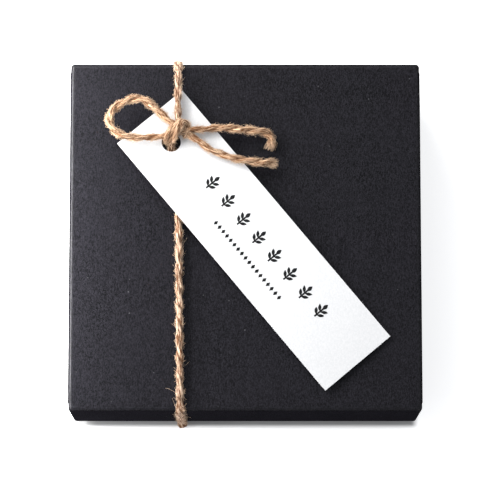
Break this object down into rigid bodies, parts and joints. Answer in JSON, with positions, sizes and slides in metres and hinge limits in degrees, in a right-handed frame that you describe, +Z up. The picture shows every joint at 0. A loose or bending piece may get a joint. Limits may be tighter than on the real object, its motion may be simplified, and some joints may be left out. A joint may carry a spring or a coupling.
{
  "type": "gift box",
  "caption": "Square shallow rigid gift box with lift-off lid, tied with a twine slip bow that holds a long card tag.",
  "frame": {"origin": "on the ground plane under the middle of the box", "axes": "+Z up, +X to the right and +Y to the back, with the front wall facing -Y; the twine runs front to back"},
  "size_m": [0.11, 0.1166, 0.0498],
  "materials": {
    "black_paper": "matte",
    "grey_board": "matte",
    "kraft_tape": "matte",
    "jute": "matte",
    "white_card": "matte"
  },
  "bodies": {
    "base": {"base_wrap": "black_paper", "base_bottom_sheet": "black_paper", "base_floor_lining": "black_paper", "base_floor_board": "grey_board", "base_front_board": "grey_board", "base_back_board": "grey_board", "base_left_board": "grey_board", "base_right_board": "grey_board", "base_stay_front_left": "kraft_tape", "base_stay_front_right": "kraft_tape", "base_stay_back_left": "kraft_tape", "base_stay_back_right": "kraft_tape", "twine_under_run": "jute", "twine_front_drop": "jute", "twine_back_drop": "jute"},
    "lid": {"lid_wrap": "black_paper", "lid_lining": "black_paper", "lid_top_board": "grey_board", "lid_front_board": "grey_board", "lid_back_board": "grey_board", "lid_left_board": "grey_board", "lid_right_board": "grey_board", "lid_stay_front_left": "kraft_tape", "lid_stay_front_right": "kraft_tape", "lid_stay_back_left": "kraft_tape", "lid_stay_back_right": "kraft_tape", "twine_back_strand": "jute", "twine_front_strand": "jute", "twine_knot": "jute", "bow_loop": "jute", "bow_tail_upper": "jute", "bow_tail_lower": "jute"},
    "tag": {"tag_card": "white_card"}
  },
  "joints": [
    {"name": "lid_lift", "type": "slide", "parent": "base", "child": "lid", "axis": [0, 0, 1], "range_m": [0, 0.045], "deforming": ["twine_front_drop", "twine_back_drop"]},
    {"name": "tag_swivel", "type": "hinge", "parent": "lid", "child": "tag", "pos_m": [-0.02315, 0.029, 0.0438], "axis": [0.0453, 0, 0.999], "range_deg": [-70, 8]}
  ]
}
